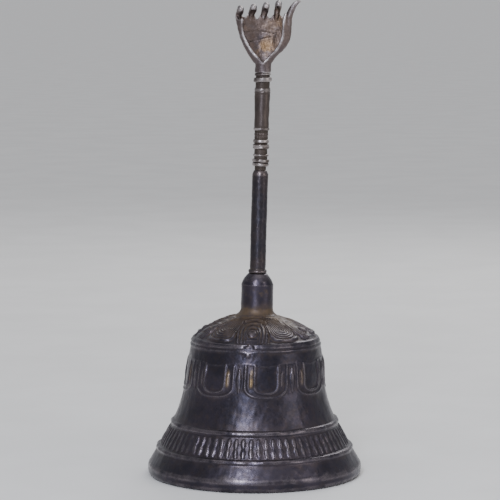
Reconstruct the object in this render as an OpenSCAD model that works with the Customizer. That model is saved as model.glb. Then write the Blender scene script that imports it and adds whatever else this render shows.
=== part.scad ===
// Hand bell of dark cast bronze with a hand-shaped finial and a hanging clapper.
// Millimetres, +Z up, origin at the centre of the mouth, in the plane of the rim.

/* [Bell] */
// Outer diameter of the mouth
mouth_d = 90; // [84:0.5:96]
// Height of the shoulder above the rim
shoulder_h = 57.8; // [56:0.2:60]
// Outer diameter of the shoulder
shoulder_d = 53.2; // [50:0.2:58]
// Height of the domed crown above the shoulder
crown_rise = 10; // [9:0.1:12]
// Thickness of the wall
wall_t = 3.2; // [2.6:0.1:3.6]
// Thickness of the crown
crown_t = 4; // [3.4:0.1:4.6]
// Height of the outward lip at the rim
lip_h = 4.8; // [4:0.1:5.6]

/* [Socket] */
// Outer diameter of the handle socket
socket_d = 13.4; // [12.6:0.1:14.4]
// Height of the straight part of the socket
socket_h = 12.5; // [11:0.1:14]
// Height of the cone that closes the socket
cone_h = 4.6; // [3.8:0.1:5.2]
// Depth of the handle's seat below the top of the cone
seat_depth = 14.9; // [13:0.1:15.2]

/* [Handle] */
// Lean of the handle towards +X, in degrees
lean = 1.5; // [0:0.1:3]
// Diameter of the plain lower shaft
shaft_d = 6.7; // [6:0.1:7.2]
// Visible length of the plain lower shaft
shaft_len = 43.3; // [36:0.1:48]
// Radial play of the parts that are fixed in each other
seat_gap = 0.04; // [0.02:0.01:0.08]

/* [Hand] */
// Height of the palm
palm_h = 20.4; // [19:0.2:22]
// Thickness of the palm
palm_t = 1.6; // [1.4:0.1:2]
// How much deeper the palm's hollow gets than the cuff
palm_swell = 1.5; // [1:0.1:2]
// Reach of the hooked fingers in front of the handle's axis
finger_reach = 5.4; // [4.6:0.2:6.4]

/* [Clapper] */
// Diameter of the ball
ball_d = 17; // [14:0.5:18]
// Height of the ball's centre above the rim
ball_z = 16.5; // [15:0.1:18]
// Diameter of the wire of the two eyes
eye_wire = 1.8; // [1.6:0.1:1.9]
// Diameter of the wire of the link
link_wire = 1.4; // [1.2:0.1:1.5]
// Play between links that hang in each other
hang_gap = 0.15; // [0.1:0.01:0.2]

/* [Hidden] */
$fn = 96;

bronze = [0.23, 0.19, 0.19];
worn_bronze = [0.36, 0.29, 0.24];
iron = [0.32, 0.31, 0.32];

// The wall's radius is the shoulder's plus a share of the flare. Shares run from the lip to the
// shoulder at equal steps of height, with one more beyond each end that sets the end slopes.
flare = [1.3, 1, 0.663, 0.354, 0.177, 0.11, 0, -0.22];
// Shares of the crown's rise, at equal steps of radius from the shoulder to the socket.
crown = [-0.45, 0, 0.36, 0.595, 0.8, 1, 1.17];
shoulder_r = shoulder_d / 2;
mouth_r = mouth_d / 2;
lip_r = mouth_r - 0.3;
crown_z = shoulder_h + crown_rise;
crown_top_r = 7;
profile_step = 0.9;

// Raised bands of the outside: height, how far they stand out, and half their width.
bands = [[11.8, 0.75, 1.1], [22.6, 0.7, 1.0], [56.2, 0.3, 0.55]];

// The handle stands on an axis that leans about this point on the bell's axis.
lean_z = 36;
socket_r = socket_d / 2;
socket_top = crown_z + socket_h + cone_h;
seat_z = socket_top - seat_depth;
shaft_r = shaft_d / 2;
shaft_top = socket_top + shaft_len;
boss_z = crown_z - 5.8;
bolt_r = 2;
tap_depth = 10;

// The grip's turned rings: foot, height and radius of each, measured from the shaft's top.
rings = [[1.7, 1.5, 3.5], [3.25, 1.5, 3.55], [5.8, 1.0, 3.25], [8.9, 2.1, 3.5], [11.4, 1.5, 3.35],
         [16.6, 1.3, 3.3], [31.6, 2.9, 3.4], [36.8, 2.0, 3.85], [39.4, 1.15, 3.45]];
grip_len = 40.6;
grip_foot_r = 2.9;
spigot_r = 2;
spigot_len = 9;
grip_top = shaft_top + grip_len;
tang_r = 1.7;
tang_len = 8;

cuff_h = 4;
palm_z = grip_top + cuff_h;
palm_top = palm_z + palm_h;
palm_rows = 16;
palm_cols = 28;
// Half the palm's width, and how far from its middle the edge of the opening runs, at equal steps of
// height. The first and last keys set the end slopes. The thumb's side is fuller than the other.
thumb_side = [1.5, 3.4, 5.9, 9.3, 10.9, 11.4, 11.5, 11.6, 11.6];
other_side = [1.5, 3.9, 6.3, 8.35, 9.85, 10.85, 11.7, 12.1, 12.3];
thumb_edge = [-3.5, 0, 3.5, 6.3, 7.95, 8.4, 8.5, 9.2, 10];
other_edge = [-3.8, 0, 3.8, 6.6, 8.5, 9.6, 9.8, 9.8, 9.6];
// Across the palm for each finger's root and its tip, and the tip's height above the palm's top.
fingers = [[-10.8, -9.9, 1.7], [-5.6, -4.6, 2.5], [-0.3, 0.7, 3.3], [5.2, 5.8, 4.2]];
finger_radii = [0.8, 1.35, 1.6, 1.5, 1.15];
digit_fn = 16;

eye_r = eye_wire / 2;
eye_mid = 2.6;
washer_t = 1;
nut_t = 3.2;
nut_af = 7;
hang_z = boss_z - washer_t - nut_t - 0.3 - 2 * eye_mid - eye_r;
link_r = link_wire / 2;
link_mid = 2.2;
link_len = 7;
pivot = [(hang_z - lean_z) * sin(lean), 0, lean_z + (hang_z - lean_z) * cos(lean)];
rod_z = pivot[2] - link_len;
rod_r = 1;
ball_r = ball_d / 2;
ball_cut = 7.6;
rivet_t = 0.8;

echo(first_hinge = pivot, second_hinge = [pivot[0], 0, rod_z]);

// Value between b and c of the smooth curve through a, b, c and d, at s from 0 to 1.
function between(a, b, c, d, s) =
    b + 0.5 * s * (c - a + s * (2 * a - 5 * b + 4 * c - d + s * (3 * (b - c) + d - a)));

// Value at t from 0 to 1 along keys whose first and last only set the end slopes.
function along(keys, t) =
    let (x = min(max(t, 0), 0.9999) * (len(keys) - 3), i = floor(x))
    between(keys[i], keys[i + 1], keys[i + 2], keys[i + 3], x - i);

function wall_r(z) =
    shoulder_r + (lip_r - shoulder_r) * along(flare, (z - lip_h) / (shoulder_h - lip_h));

function band(z, b) = let (d = (z - b[0]) / b[2]) abs(d) < 1 ? b[1] * sqrt(1 - d * d) : 0;

function outer_r(z) = wall_r(z) + max([for (b = bands) band(z, b)]);

function crown_height(r) =
    shoulder_h + crown_rise * along(crown, (shoulder_r - r) / (shoulder_r - crown_top_r));

// Rounded bead of radius r and height h whose foot is at z, as a half outline.
function bead(z, h, r) =
    [[0, z], for (a = [-90:15:90]) [r - h / 2 * (1 - cos(a)), z + h / 2 * (1 + sin(a))], [0, z + h]];

module on_handle() {
    translate([0, 0, lean_z]) rotate([0, lean, 0]) translate([0, 0, -lean_z]) children();
}

module shell_body() {
    inner_top = shoulder_h - 1.2;
    lip_round = 2.2;
    rise = [for (z = [lip_h:profile_step:shoulder_h - 0.5]) [outer_r(z), z]];
    shoulder = [[wall_r(shoulder_h) + 0.15, shoulder_h - 0.4], [shoulder_r - 0.1, shoulder_h + 0.3]];
    dome = [for (r = [shoulder_r - 1:-2:crown_top_r]) [r, crown_height(r)]];
    under = [for (r = [crown_top_r:2:shoulder_r - wall_t - 1]) [r, crown_height(r) - crown_t]];
    inside = [for (z = [inner_top:-2:lip_h]) [wall_r(z) - wall_t, z]];
    lip = [for (a = [-90:15:0]) [mouth_r + lip_round * (cos(a) - 1), lip_round * (1 + sin(a))]];
    rotate_extrude()
        polygon(concat(
            lip, rise, shoulder, dome,
            [[crown_top_r, crown_z], [0, crown_z], [0, crown_height(crown_top_r) - crown_t]],
            under, inside,
            [[lip_r - wall_t - 1.4, 0]]));
}

module socket_body() {
    foot = 2;
    cone_z = crown_z + socket_h;
    rotate_extrude()
        polygon([
            [0, crown_z - 3], [socket_r + foot, crown_z - 3], [socket_r + foot, crown_z - 0.4],
            [socket_r, crown_z + foot - 0.4], [socket_r, cone_z], [socket_r - 1, cone_z + cone_h / 2],
            [shaft_r + 0.6, socket_top], [0, socket_top]]);
}

module bell_shell() {
    color(bronze)
        difference() {
            union() {
                shell_body();
                on_handle() socket_body();
                on_handle() translate([0, 0, boss_z]) cylinder(r = 7.2, h = 4);
            }
            on_handle() translate([0, 0, seat_z]) cylinder(r = shaft_r + seat_gap, h = seat_depth + 5);
            on_handle() translate([0, 0, boss_z - 3]) cylinder(r = bolt_r + 0.2, h = seat_z - boss_z + 4);
        }
}

module lower_shaft() {
    chamfer = 0.6;
    collar_h = 1.6;
    color(bronze)
        on_handle()
            difference() {
                rotate_extrude() {
                    polygon([
                        [0, seat_z], [shaft_r, seat_z], [shaft_r, shaft_top - chamfer],
                        [shaft_r - chamfer, shaft_top], [0, shaft_top]]);
                    polygon(bead(socket_top, collar_h, shaft_r + 0.5));
                }
                translate([0, 0, seat_z - 1]) cylinder(r = bolt_r, h = tap_depth + 1);
                translate([0, 0, shaft_top - spigot_len - 0.5])
                    cylinder(r = spigot_r + seat_gap, h = spigot_len + 1);
            }
}

module ringed_grip() {
    barrel_foot = 18;
    barrel_top = 31.6;
    color(worn_bronze)
        on_handle()
            translate([0, 0, shaft_top])
                difference() {
                    union() {
                        translate([0, 0, -spigot_len]) cylinder(r = spigot_r, h = spigot_len + 1);
                        rotate_extrude()
                            polygon([
                                [0, 0], [grip_foot_r, 0], [grip_foot_r, barrel_foot - 1.2],
                                [3, barrel_foot], [3.25, barrel_top], [3.25, grip_len - 0.8],
                                [3, grip_len], [0, grip_len]]);
                        for (r = rings) rotate_extrude() polygon(bead(r[0], r[1], r[2]));
                    }
                    translate([0, 0, grip_len - tang_len - 0.5])
                        cylinder(r = tang_r + seat_gap, h = tang_len + 1);
                }
}

// Depth of the palm's back behind the handle's axis at share v of its height.
function palm_deep(v) = let (s = min(2 * v, 1)) shaft_r + palm_swell * s * s * (3 - 2 * s);

// Point of the palm at share u across, from -1 to 1, and v up, t inside the outer skin.
function palm_point(u, v, t) =
    let (half = along(u > 0 ? thumb_side : other_side, v),
         edge = max(along(u > 0 ? thumb_edge : other_edge, v), 0.25),
         a = u * (180 - asin(edge / half)))
    [(half - t) * sin(a), (palm_deep(v) - t) * cos(a) + 0.3 * v, palm_z + v * palm_h];

module palm() {
    n = palm_cols + 1;
    m = palm_rows + 1;
    skin = [for (t = [0, palm_t]) for (j = [0:palm_rows]) for (i = [0:palm_cols])
        palm_point(2 * i / palm_cols - 1, j / palm_rows, t)];
    inner = n * m;
    sheets = [for (j = [0:palm_rows - 1]) for (i = [0:palm_cols - 1]) let (a = j * n + i)
        each [[a, a + 1, a + n + 1, a + n], [inner + a, inner + a + n, inner + a + n + 1, inner + a + 1]]];
    sides = [for (j = [0:palm_rows - 1]) let (a = j * n, b = a + palm_cols)
        each [[a, a + n, inner + a + n, inner + a], [b + n, b, inner + b, inner + b + n]]];
    ends = [for (i = [0:palm_cols - 1]) let (b = palm_rows * n + i)
        each [[i + 1, i, inner + i, inner + i + 1], [b, b + 1, inner + b + 1, inner + b]]];
    polyhedron(concat(skin), concat(sheets, sides, ends), convexity = 6);
}

// A row of balls joined into one tapering digit. Each ball is [place, radius].
module digit(balls) {
    for (i = [0:len(balls) - 2])
        hull() {
            translate(balls[i][0]) sphere(r = balls[i][1], $fn = digit_fn);
            translate(balls[i + 1][0]) sphere(r = balls[i + 1][1], $fn = digit_fn);
        }
}

// Depth of the middle of the palm's wall at its top, this far across.
function palm_back(x) =
    let (wide = (x < 0 ? other_side[7] : thumb_side[7]) - palm_t / 2)
    0.3 + (palm_deep(1) - palm_t / 2) * sqrt(1 - pow(x / wide, 2));

module hand_finial() {
    color(worn_bronze)
        on_handle() {
            translate([0, 0, grip_top - tang_len]) cylinder(r = tang_r, h = tang_len + 2, $fn = 64);
            translate([0, 0, grip_top]) cylinder(r = shaft_r, h = cuff_h + 0.6, $fn = 64);
            palm();
            for (f = fingers) {
                tip = palm_top + f[2];
                back = palm_back(f[0]);
                places = [[f[0], back + 0.1, palm_top - 4.5], [f[0], back, palm_top - 1],
                          [0.3 * f[0] + 0.7 * f[1], back - 1.2, tip - 1.1], [f[1], back - 4, tip + 0.25],
                          [f[1], -finger_reach, tip]];
                digit([for (i = [0:4]) [places[i], finger_radii[i]]]);
            }
            digit([
                [[10, -1.4, palm_top - 6], 0.85], [[10.3, -1.8, palm_top - 1.2], 1.3],
                [[10.8, -2.2, palm_top + 1.2], 1.4], [[12.2, -2.8, palm_top + 3.7], 1.15],
                [[14.5, -3.2, palm_top + 5.5], 0.5]]);
        }
}

// Ring of round wire that stands in the XZ plane, its centre at height z.
module standing_ring(z) {
    translate([0, 0, z]) rotate([90, 0, 0]) rotate_extrude() translate([eye_mid, 0]) circle(r = eye_r, $fn = 48);
}

module eye_bolt() {
    ring_z = hang_z + eye_mid;
    color(iron)
        on_handle() {
            standing_ring(ring_z);
            translate([0, 0, ring_z + eye_mid])
                cylinder(r = bolt_r - seat_gap, h = seat_z + tap_depth - 1 - ring_z - eye_mid);
        }
}

module crown_washer() {
    color(iron)
        on_handle()
            translate([0, 0, boss_z - washer_t])
                difference() {
                    cylinder(r = 6, h = washer_t);
                    translate([0, 0, -1]) cylinder(r = bolt_r + 0.2, h = washer_t + 2);
                }
}

module lock_nut() {
    color(iron)
        on_handle()
            translate([0, 0, boss_z - washer_t - nut_t])
                difference() {
                    cylinder(r = nut_af / 2 / cos(30), h = nut_t, $fn = 6);
                    translate([0, 0, -1]) cylinder(r = bolt_r, h = nut_t + 2);
                }
}

// Long link in the YZ plane. It hangs on the bolt's eye, and the rod's eye hangs on it.
module clapper_link() {
    top = eye_r + hang_gap + link_r - link_mid;
    bottom = link_mid - link_len;
    color(iron)
        translate(pivot) {
            for (end = [[top, 0], [bottom, 180]])
                translate([0, 0, end[0]]) rotate([end[1], 0, 0]) rotate([90, 0, 90])
                    rotate_extrude(angle = 180) translate([link_mid, 0]) circle(r = link_r, $fn = 48);
            for (side = [-1, 1])
                translate([0, side * link_mid, bottom]) cylinder(r = link_r, h = top - bottom);
        }
}

module clapper_rod() {
    ring_z = rod_z + link_r + hang_gap + eye_r - eye_mid;
    ball_top = ball_z + ball_cut;
    washer_z = ball_z - ball_cut - rivet_t;
    color(iron)
        translate([pivot[0], 0, 0]) {
            standing_ring(ring_z);
            translate([0, 0, washer_z - 1]) cylinder(r = rod_r, h = ring_z - eye_mid - washer_z + 1);
            translate([0, 0, ball_top]) cylinder(r1 = 2.6, r2 = 1.6, h = 1.4);
            rotate_extrude()
                polygon([[0, washer_z - 1], [1.2, washer_z - 0.9], [1.9, washer_z - 0.4], [1.9, washer_z],
                         [0, washer_z]]);
        }
}

module clapper_ball() {
    color(iron)
        translate([pivot[0], 0, ball_z])
            difference() {
                intersection() {
                    sphere(r = ball_r);
                    translate([0, 0, -ball_cut]) cylinder(r = ball_r + 1, h = 2 * ball_cut);
                }
                translate([0, 0, -ball_r - 1]) cylinder(r = rod_r + seat_gap, h = 2 * ball_r + 2);
            }
}

module clapper_washer() {
    color(iron)
        translate([pivot[0], 0, ball_z - ball_cut - rivet_t])
            difference() {
                cylinder(r = 3, h = rivet_t);
                translate([0, 0, -1]) cylinder(r = rod_r + seat_gap, h = rivet_t + 2);
            }
}

bell_shell();
lower_shaft();
ringed_grip();
hand_finial();
eye_bolt();
crown_washer();
lock_nut();
clapper_link();
clapper_rod();
clapper_ball();
clapper_washer();
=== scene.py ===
"""Looks of a dark cast bronze hand bell with a hooked hand on its handle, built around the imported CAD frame.

Shapes are worked out in millimetres, in the CAD model's frame, and scaled to metres when a mesh is made.
Angles round the bell are counted from the front (-Y), positive towards +X.
"""
import math

import bpy
import numpy as np
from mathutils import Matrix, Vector


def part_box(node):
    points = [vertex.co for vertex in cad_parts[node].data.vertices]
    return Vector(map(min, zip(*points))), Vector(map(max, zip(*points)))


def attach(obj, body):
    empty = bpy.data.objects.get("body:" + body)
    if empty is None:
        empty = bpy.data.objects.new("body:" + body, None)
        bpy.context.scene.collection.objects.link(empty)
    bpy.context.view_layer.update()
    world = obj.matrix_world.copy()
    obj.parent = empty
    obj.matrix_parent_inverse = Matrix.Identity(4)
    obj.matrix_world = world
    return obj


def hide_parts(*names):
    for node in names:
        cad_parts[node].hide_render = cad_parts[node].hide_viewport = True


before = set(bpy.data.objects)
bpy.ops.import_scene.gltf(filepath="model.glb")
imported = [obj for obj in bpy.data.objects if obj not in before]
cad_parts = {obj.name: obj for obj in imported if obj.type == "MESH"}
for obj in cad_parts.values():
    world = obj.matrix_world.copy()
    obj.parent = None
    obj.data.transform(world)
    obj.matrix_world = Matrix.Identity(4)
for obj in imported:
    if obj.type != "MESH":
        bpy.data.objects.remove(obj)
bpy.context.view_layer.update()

MM = 0.001

# ---------------------------------------------------------------- sizes, in millimetres


def node_top(node):
    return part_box(node)[1].z / MM


def node_foot(node):
    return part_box(node)[0].z / MM


MOUTH_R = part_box("bell_shell")[1].x / MM
LIP_R = MOUTH_R - 0.3
LIP_H = 4.8
SHOULDER_R = 26.6
SHOULDER_H = 57.8
WALL_T = 3.2
CROWN_T = 4.0
CROWN_RISE = 10.0
CROWN_Z = SHOULDER_H + CROWN_RISE
CROWN_TOP_R = 7.0
# Shares of the flare from the lip to the shoulder, and of the crown's rise from the shoulder to the neck, at
# equal steps. The first and last keys set the end slopes.
FLARE = [1.3, 1, 0.663, 0.354, 0.177, 0.11, 0, -0.22]
CROWN = [-0.45, 0, 0.36, 0.595, 0.8, 1, 1.17]

LEAN = math.radians(1.5)
LEAN_Z = 36.0
SOCKET_R = 6.7
SOCKET_TOP = 84.9
CONE_H = 4.6
SHAFT_R = 3.35
SHAFT_TOP = SOCKET_TOP + 43.3
GRIP_LEN = 40.6
GRIP_TOP = SHAFT_TOP + GRIP_LEN
CUFF_H = 4
PALM_Z = GRIP_TOP + CUFF_H
SEAT_Z = SOCKET_TOP - 14.9
BOSS_Z = CROWN_Z - 5.8
BOLT_R = 2.0

RNG = np.random.default_rng(7)


# ---------------------------------------------------------------- curves and noise


def between(a, b, c, d, s):
    """Value between b and c of the smooth curve through a, b, c and d."""
    return b + 0.5 * s * (c - a + s * (2 * a - 5 * b + 4 * c - d + s * (3 * (b - c) + d - a)))


def along(keys, t):
    """Value at t from 0 to 1 along keys whose first and last only set the end slopes."""
    k = np.asarray(keys, float)
    x = np.clip(t, 0, 0.9999) * (len(keys) - 3)
    i = np.floor(x).astype(int)
    return between(k[i], k[i + 1], k[i + 2], k[i + 3], (x - i).reshape(x.shape + (1,) * (k.ndim - 1)))


def through(points, n):
    """n places along a smooth curve through these points."""
    p = np.asarray(points, float)
    p = np.vstack([2 * p[0] - p[1], p, 2 * p[-1] - p[-2]])
    return along(p, np.linspace(0, 1, n))


def smooth(a, b, x):
    """0 at a and 1 at b, with an even slope at both ends."""
    t = np.clip((x - a) / (b - a), 0, 1)
    return t * t * (3 - 2 * t)


def ridge(x, width):
    """1 at 0, falling off softly to both sides."""
    return np.exp(-((x / width) ** 2))


def ripples(p, size, seed):
    """A smooth random field of about unit height whose features are about size across."""
    rng = np.random.default_rng(seed)
    total = np.zeros(p.shape[:-1])
    waves = 18
    for _ in range(waves):
        k = rng.normal(size=3)
        k *= 2 * math.pi / size * rng.uniform(0.6, 1.4) / np.linalg.norm(k)
        total += np.sin(p @ k + rng.uniform(0, 2 * math.pi))
    return total / math.sqrt(waves / 2)


def leaned(p, share=1.0):
    """Points tipped towards +X with the handle, or by a share of its lean."""
    a = LEAN * np.asarray(share)
    x, z = p[..., 0], p[..., 2] - LEAN_Z
    out = p.copy()
    out[..., 0] = x * np.cos(a) + z * np.sin(a)
    out[..., 2] = LEAN_Z - x * np.sin(a) + z * np.cos(a)
    return out


def wall_r(z):
    """Radius of the outside of the wall at this height."""
    share = (np.asarray(z, float) - LIP_H) / (SHOULDER_H - LIP_H)
    return SHOULDER_R + (LIP_R - SHOULDER_R) * along(FLARE, share)


def crown_height(r):
    """Height of the outside of the crown at this radius."""
    share = (SHOULDER_R - np.asarray(r, float)) / (SHOULDER_R - CROWN_TOP_R)
    return SHOULDER_H + CROWN_RISE * along(CROWN, share)


# ---------------------------------------------------------------- mesh making


def volume_sign(co, faces):
    a, b, c = co[faces[:, 0]], co[faces[:, 1]], co[faces[:, 2]]
    return np.einsum("ij,ij->i", a, np.cross(b, c)).sum()


def make_mesh(name, co, quads, tris=()):
    """A smooth-shaded object from points in millimetres. A closed mesh has its faces turned outwards."""
    quads = np.asarray(quads, int).reshape(-1, 4)
    tris = np.asarray(tris, int).reshape(-1, 3)
    corners = np.vstack([quads[:, [0, 1, 2]], quads[:, [0, 2, 3]], tris])
    if volume_sign(co, corners) < 0:
        quads, tris = quads[:, ::-1], tris[:, ::-1]
    mesh = bpy.data.meshes.new(name)
    mesh.from_pydata((co * MM).tolist(), [], quads.tolist() + tris.tolist())
    mesh.polygons.foreach_set("use_smooth", [True] * len(mesh.polygons))
    obj = bpy.data.objects.new(name, mesh)
    bpy.context.scene.collection.objects.link(obj)
    return obj


def rings_mesh(name, co, closed=False):
    """Joins rings of points, rows x columns x 3. Rows are closed into a loop, or the two ends are capped."""
    rows, cols = co.shape[:2]
    idx = np.arange(rows * cols).reshape(rows, cols)
    low = idx if closed else idx[:-1]
    high = np.roll(idx, -1, axis=0) if closed else idx[1:]
    quads = np.stack([low, np.roll(low, -1, 1), np.roll(high, -1, 1), high], -1).reshape(-1, 4)
    points = co.reshape(-1, 3)
    tris = []
    if not closed:
        ends = np.stack([co[0].mean(0), co[-1].mean(0)])
        first, last = rows * cols, rows * cols + 1
        points = np.vstack([points, ends])
        nxt = np.roll(np.arange(cols), -1)
        tris = [(first, b, a) for a, b in zip(idx[0], idx[0][nxt])]
        tris += [(last, a, b) for a, b in zip(idx[-1], idx[-1][nxt])]
    return make_mesh(name, points, quads, tris)


def sheet_mesh(name, outer, inner):
    """A closed sheet with thickness, from the grids of points of its two skins."""
    rows, cols = outer.shape[:2]
    a = np.arange(rows * cols).reshape(rows, cols)
    b = a + rows * cols
    quads = []
    for g in (a, b[:, ::-1]):
        quads.append(np.stack([g[:-1, :-1], g[:-1, 1:], g[1:, 1:], g[1:, :-1]], -1).reshape(-1, 4))
    rim_a = np.concatenate([a[0, :-1], a[:-1, -1], a[-1, :0:-1], a[:0:-1, 0]])
    rim_b = rim_a + rows * cols
    quads.append(np.stack([np.roll(rim_a, -1), rim_a, rim_b, np.roll(rim_b, -1)], -1))
    points = np.concatenate([outer.reshape(-1, 3), inner.reshape(-1, 3)])
    return make_mesh(name, points, np.concatenate(quads))


def turned(profile, cols):
    """Rings of a shape of revolution about Z. The profile is rows of (radius, height)."""
    profile = np.asarray(profile, float)
    a = np.linspace(0, 2 * math.pi, cols, endpoint=False)
    r, z = profile[:, :1], profile[:, 1:2]
    return np.stack([r * np.sin(a), -r * np.cos(a), z + 0 * a], -1)


def tube(points, radii, steps, sides=20, closed=False):
    """Rings along a smooth curve through the points. An open tube has round ends."""
    if closed:
        path = np.asarray(points, float)
        rad = np.full(len(path), radii, float)
        along_path = np.roll(path, -1, 0) - np.roll(path, 1, 0)
    else:
        both = through(np.column_stack([points, radii]), steps)
        path, rad = both[:, :3], both[:, 3]
        along_path = np.gradient(path, axis=0)
    t = along_path / np.linalg.norm(along_path, axis=1, keepdims=True)
    if not closed:
        path, rad, t = rounded_ends(path, rad, t)
    side = np.zeros_like(t)
    ref = np.array([0.0, 1.0, 0.0]) if abs(t[0][1]) < 0.9 else np.array([1.0, 0.0, 0.0])
    for i, d in enumerate(t):
        ref = ref - d * (ref @ d)
        ref /= np.linalg.norm(ref)
        side[i] = ref
    up = np.cross(t, side)
    a = np.linspace(0, 2 * math.pi, sides, endpoint=False)[None, :, None]
    return path[:, None] + rad[:, None, None] * (np.cos(a) * side[:, None] + np.sin(a) * up[:, None])


def rounded_ends(path, rad, t, steps=6):
    """Adds a hemisphere of rings to each end of a tube's path."""
    a = np.linspace(0.15, 1, steps, endpoint=False) * math.pi / 2
    reach, shrink = np.cos(a), np.sin(a)
    first = path[0] - t[0] * (rad[0] * reach)[:, None]
    last = path[-1] + t[-1] * (rad[-1] * reach)[::-1, None]
    return (
        np.vstack([first, path, last]),
        np.concatenate([rad[0] * shrink, rad, rad[-1] * shrink[::-1]]),
        np.vstack([np.tile(t[0], (steps, 1)), t, np.tile(t[-1], (steps, 1))]),
    )


def fused(name, parts, voxel, passes):
    """Joins closed parts into one skin of even small faces, with the joints between them smoothed."""
    co, faces, start = [], [], 0
    for p in parts:
        mesh = p.data
        points = np.empty(len(mesh.vertices) * 3, np.float32)
        mesh.vertices.foreach_get("co", points)
        co.append(points.reshape(-1, 3))
        faces += [[start + i for i in f.vertices] for f in mesh.polygons]
        start += len(mesh.vertices)
        bpy.data.objects.remove(p)
        bpy.data.meshes.remove(mesh)
    mesh = bpy.data.meshes.new(name)
    mesh.from_pydata(np.vstack(co).tolist(), [], faces)
    obj = bpy.data.objects.new(name, mesh)
    bpy.context.scene.collection.objects.link(obj)
    skin = obj.modifiers.new("skin", "REMESH")
    skin.mode = "VOXEL"
    skin.voxel_size = voxel * MM
    soften = obj.modifiers.new("soften", "SMOOTH")
    soften.factor = 0.5
    soften.iterations = passes
    applied(obj)
    obj.data.polygons.foreach_set("use_smooth", [True] * len(obj.data.polygons))
    return obj


def applied(obj):
    """Replaces the object's mesh by the one its modifiers give."""
    bpy.context.view_layer.update()
    graph = bpy.context.evaluated_depsgraph_get()
    mesh = bpy.data.meshes.new_from_object(obj.evaluated_get(graph))
    obj.modifiers.clear()
    old, obj.data = obj.data, mesh
    bpy.data.meshes.remove(old)


def read_points(obj):
    co = np.empty(len(obj.data.vertices) * 3)
    obj.data.vertices.foreach_get("co", co)
    return co.reshape(-1, 3) / MM


def write_points(obj, co):
    obj.data.vertices.foreach_set("co", (co * MM).ravel())
    obj.data.update()


def normals_of(obj):
    n = np.empty(len(obj.data.vertices) * 3)
    obj.data.vertices.foreach_get("normal", n)
    return n.reshape(-1, 3)


def mark(obj, name, values):
    """Stores a value from 0 to 1 for each point, which the materials read by this name."""
    layer = obj.data.attributes.new(name, "FLOAT", "POINT")
    layer.data.foreach_set("value", np.clip(values, 0, 1).ravel())


def mark_proud_and_sunk(obj, spread, depth, extra=0.0):
    """Writes how far each point stands proud of its surroundings, as "proud" and "sunk" from 0 to 1.

    spread is how many smoothing passes make the surroundings, depth the height in mm that counts as 1, and
    extra more or less wear for some of the points, which along the palm's rims also paints a highlight.
    """
    co = read_points(obj)
    edges = np.empty(len(obj.data.edges) * 2, int)
    obj.data.edges.foreach_get("vertices", edges)
    a, b = edges.reshape(-1, 2).T
    count = np.bincount(a, minlength=len(co)) + np.bincount(b, minlength=len(co))
    even = co.copy()
    for _ in range(spread):
        total = [np.bincount(a, even[b, k], len(co)) + np.bincount(b, even[a, k], len(co)) for k in range(3)]
        even = 0.5 * even + 0.5 * np.stack(total, 1) / count[:, None]
    height = np.einsum("ij,ij->i", co - even, normals_of(obj)) / depth
    mark(obj, "proud", height + extra)
    mark(obj, "sunk", -height - np.maximum(extra, 0))


# ---------------------------------------------------------------- bell: outline


def spaced(start, stop, step):
    """Even places from start towards stop, about a step apart, without stop itself."""
    n = max(2, int(round(abs(stop - start) / step)) + 1)
    return np.linspace(start, stop, n)[:-1]


def arc(r, z, radius, first, last, n):
    """n places on an arc about (r, z), between two angles in degrees that count upwards from outwards."""
    a = np.radians(np.linspace(first, last, n))
    return np.column_stack([r + radius * np.cos(a), z + radius * np.sin(a)])


SOCKET, DOME, SKIRT, LIP, INSIDE = range(5)


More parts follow.
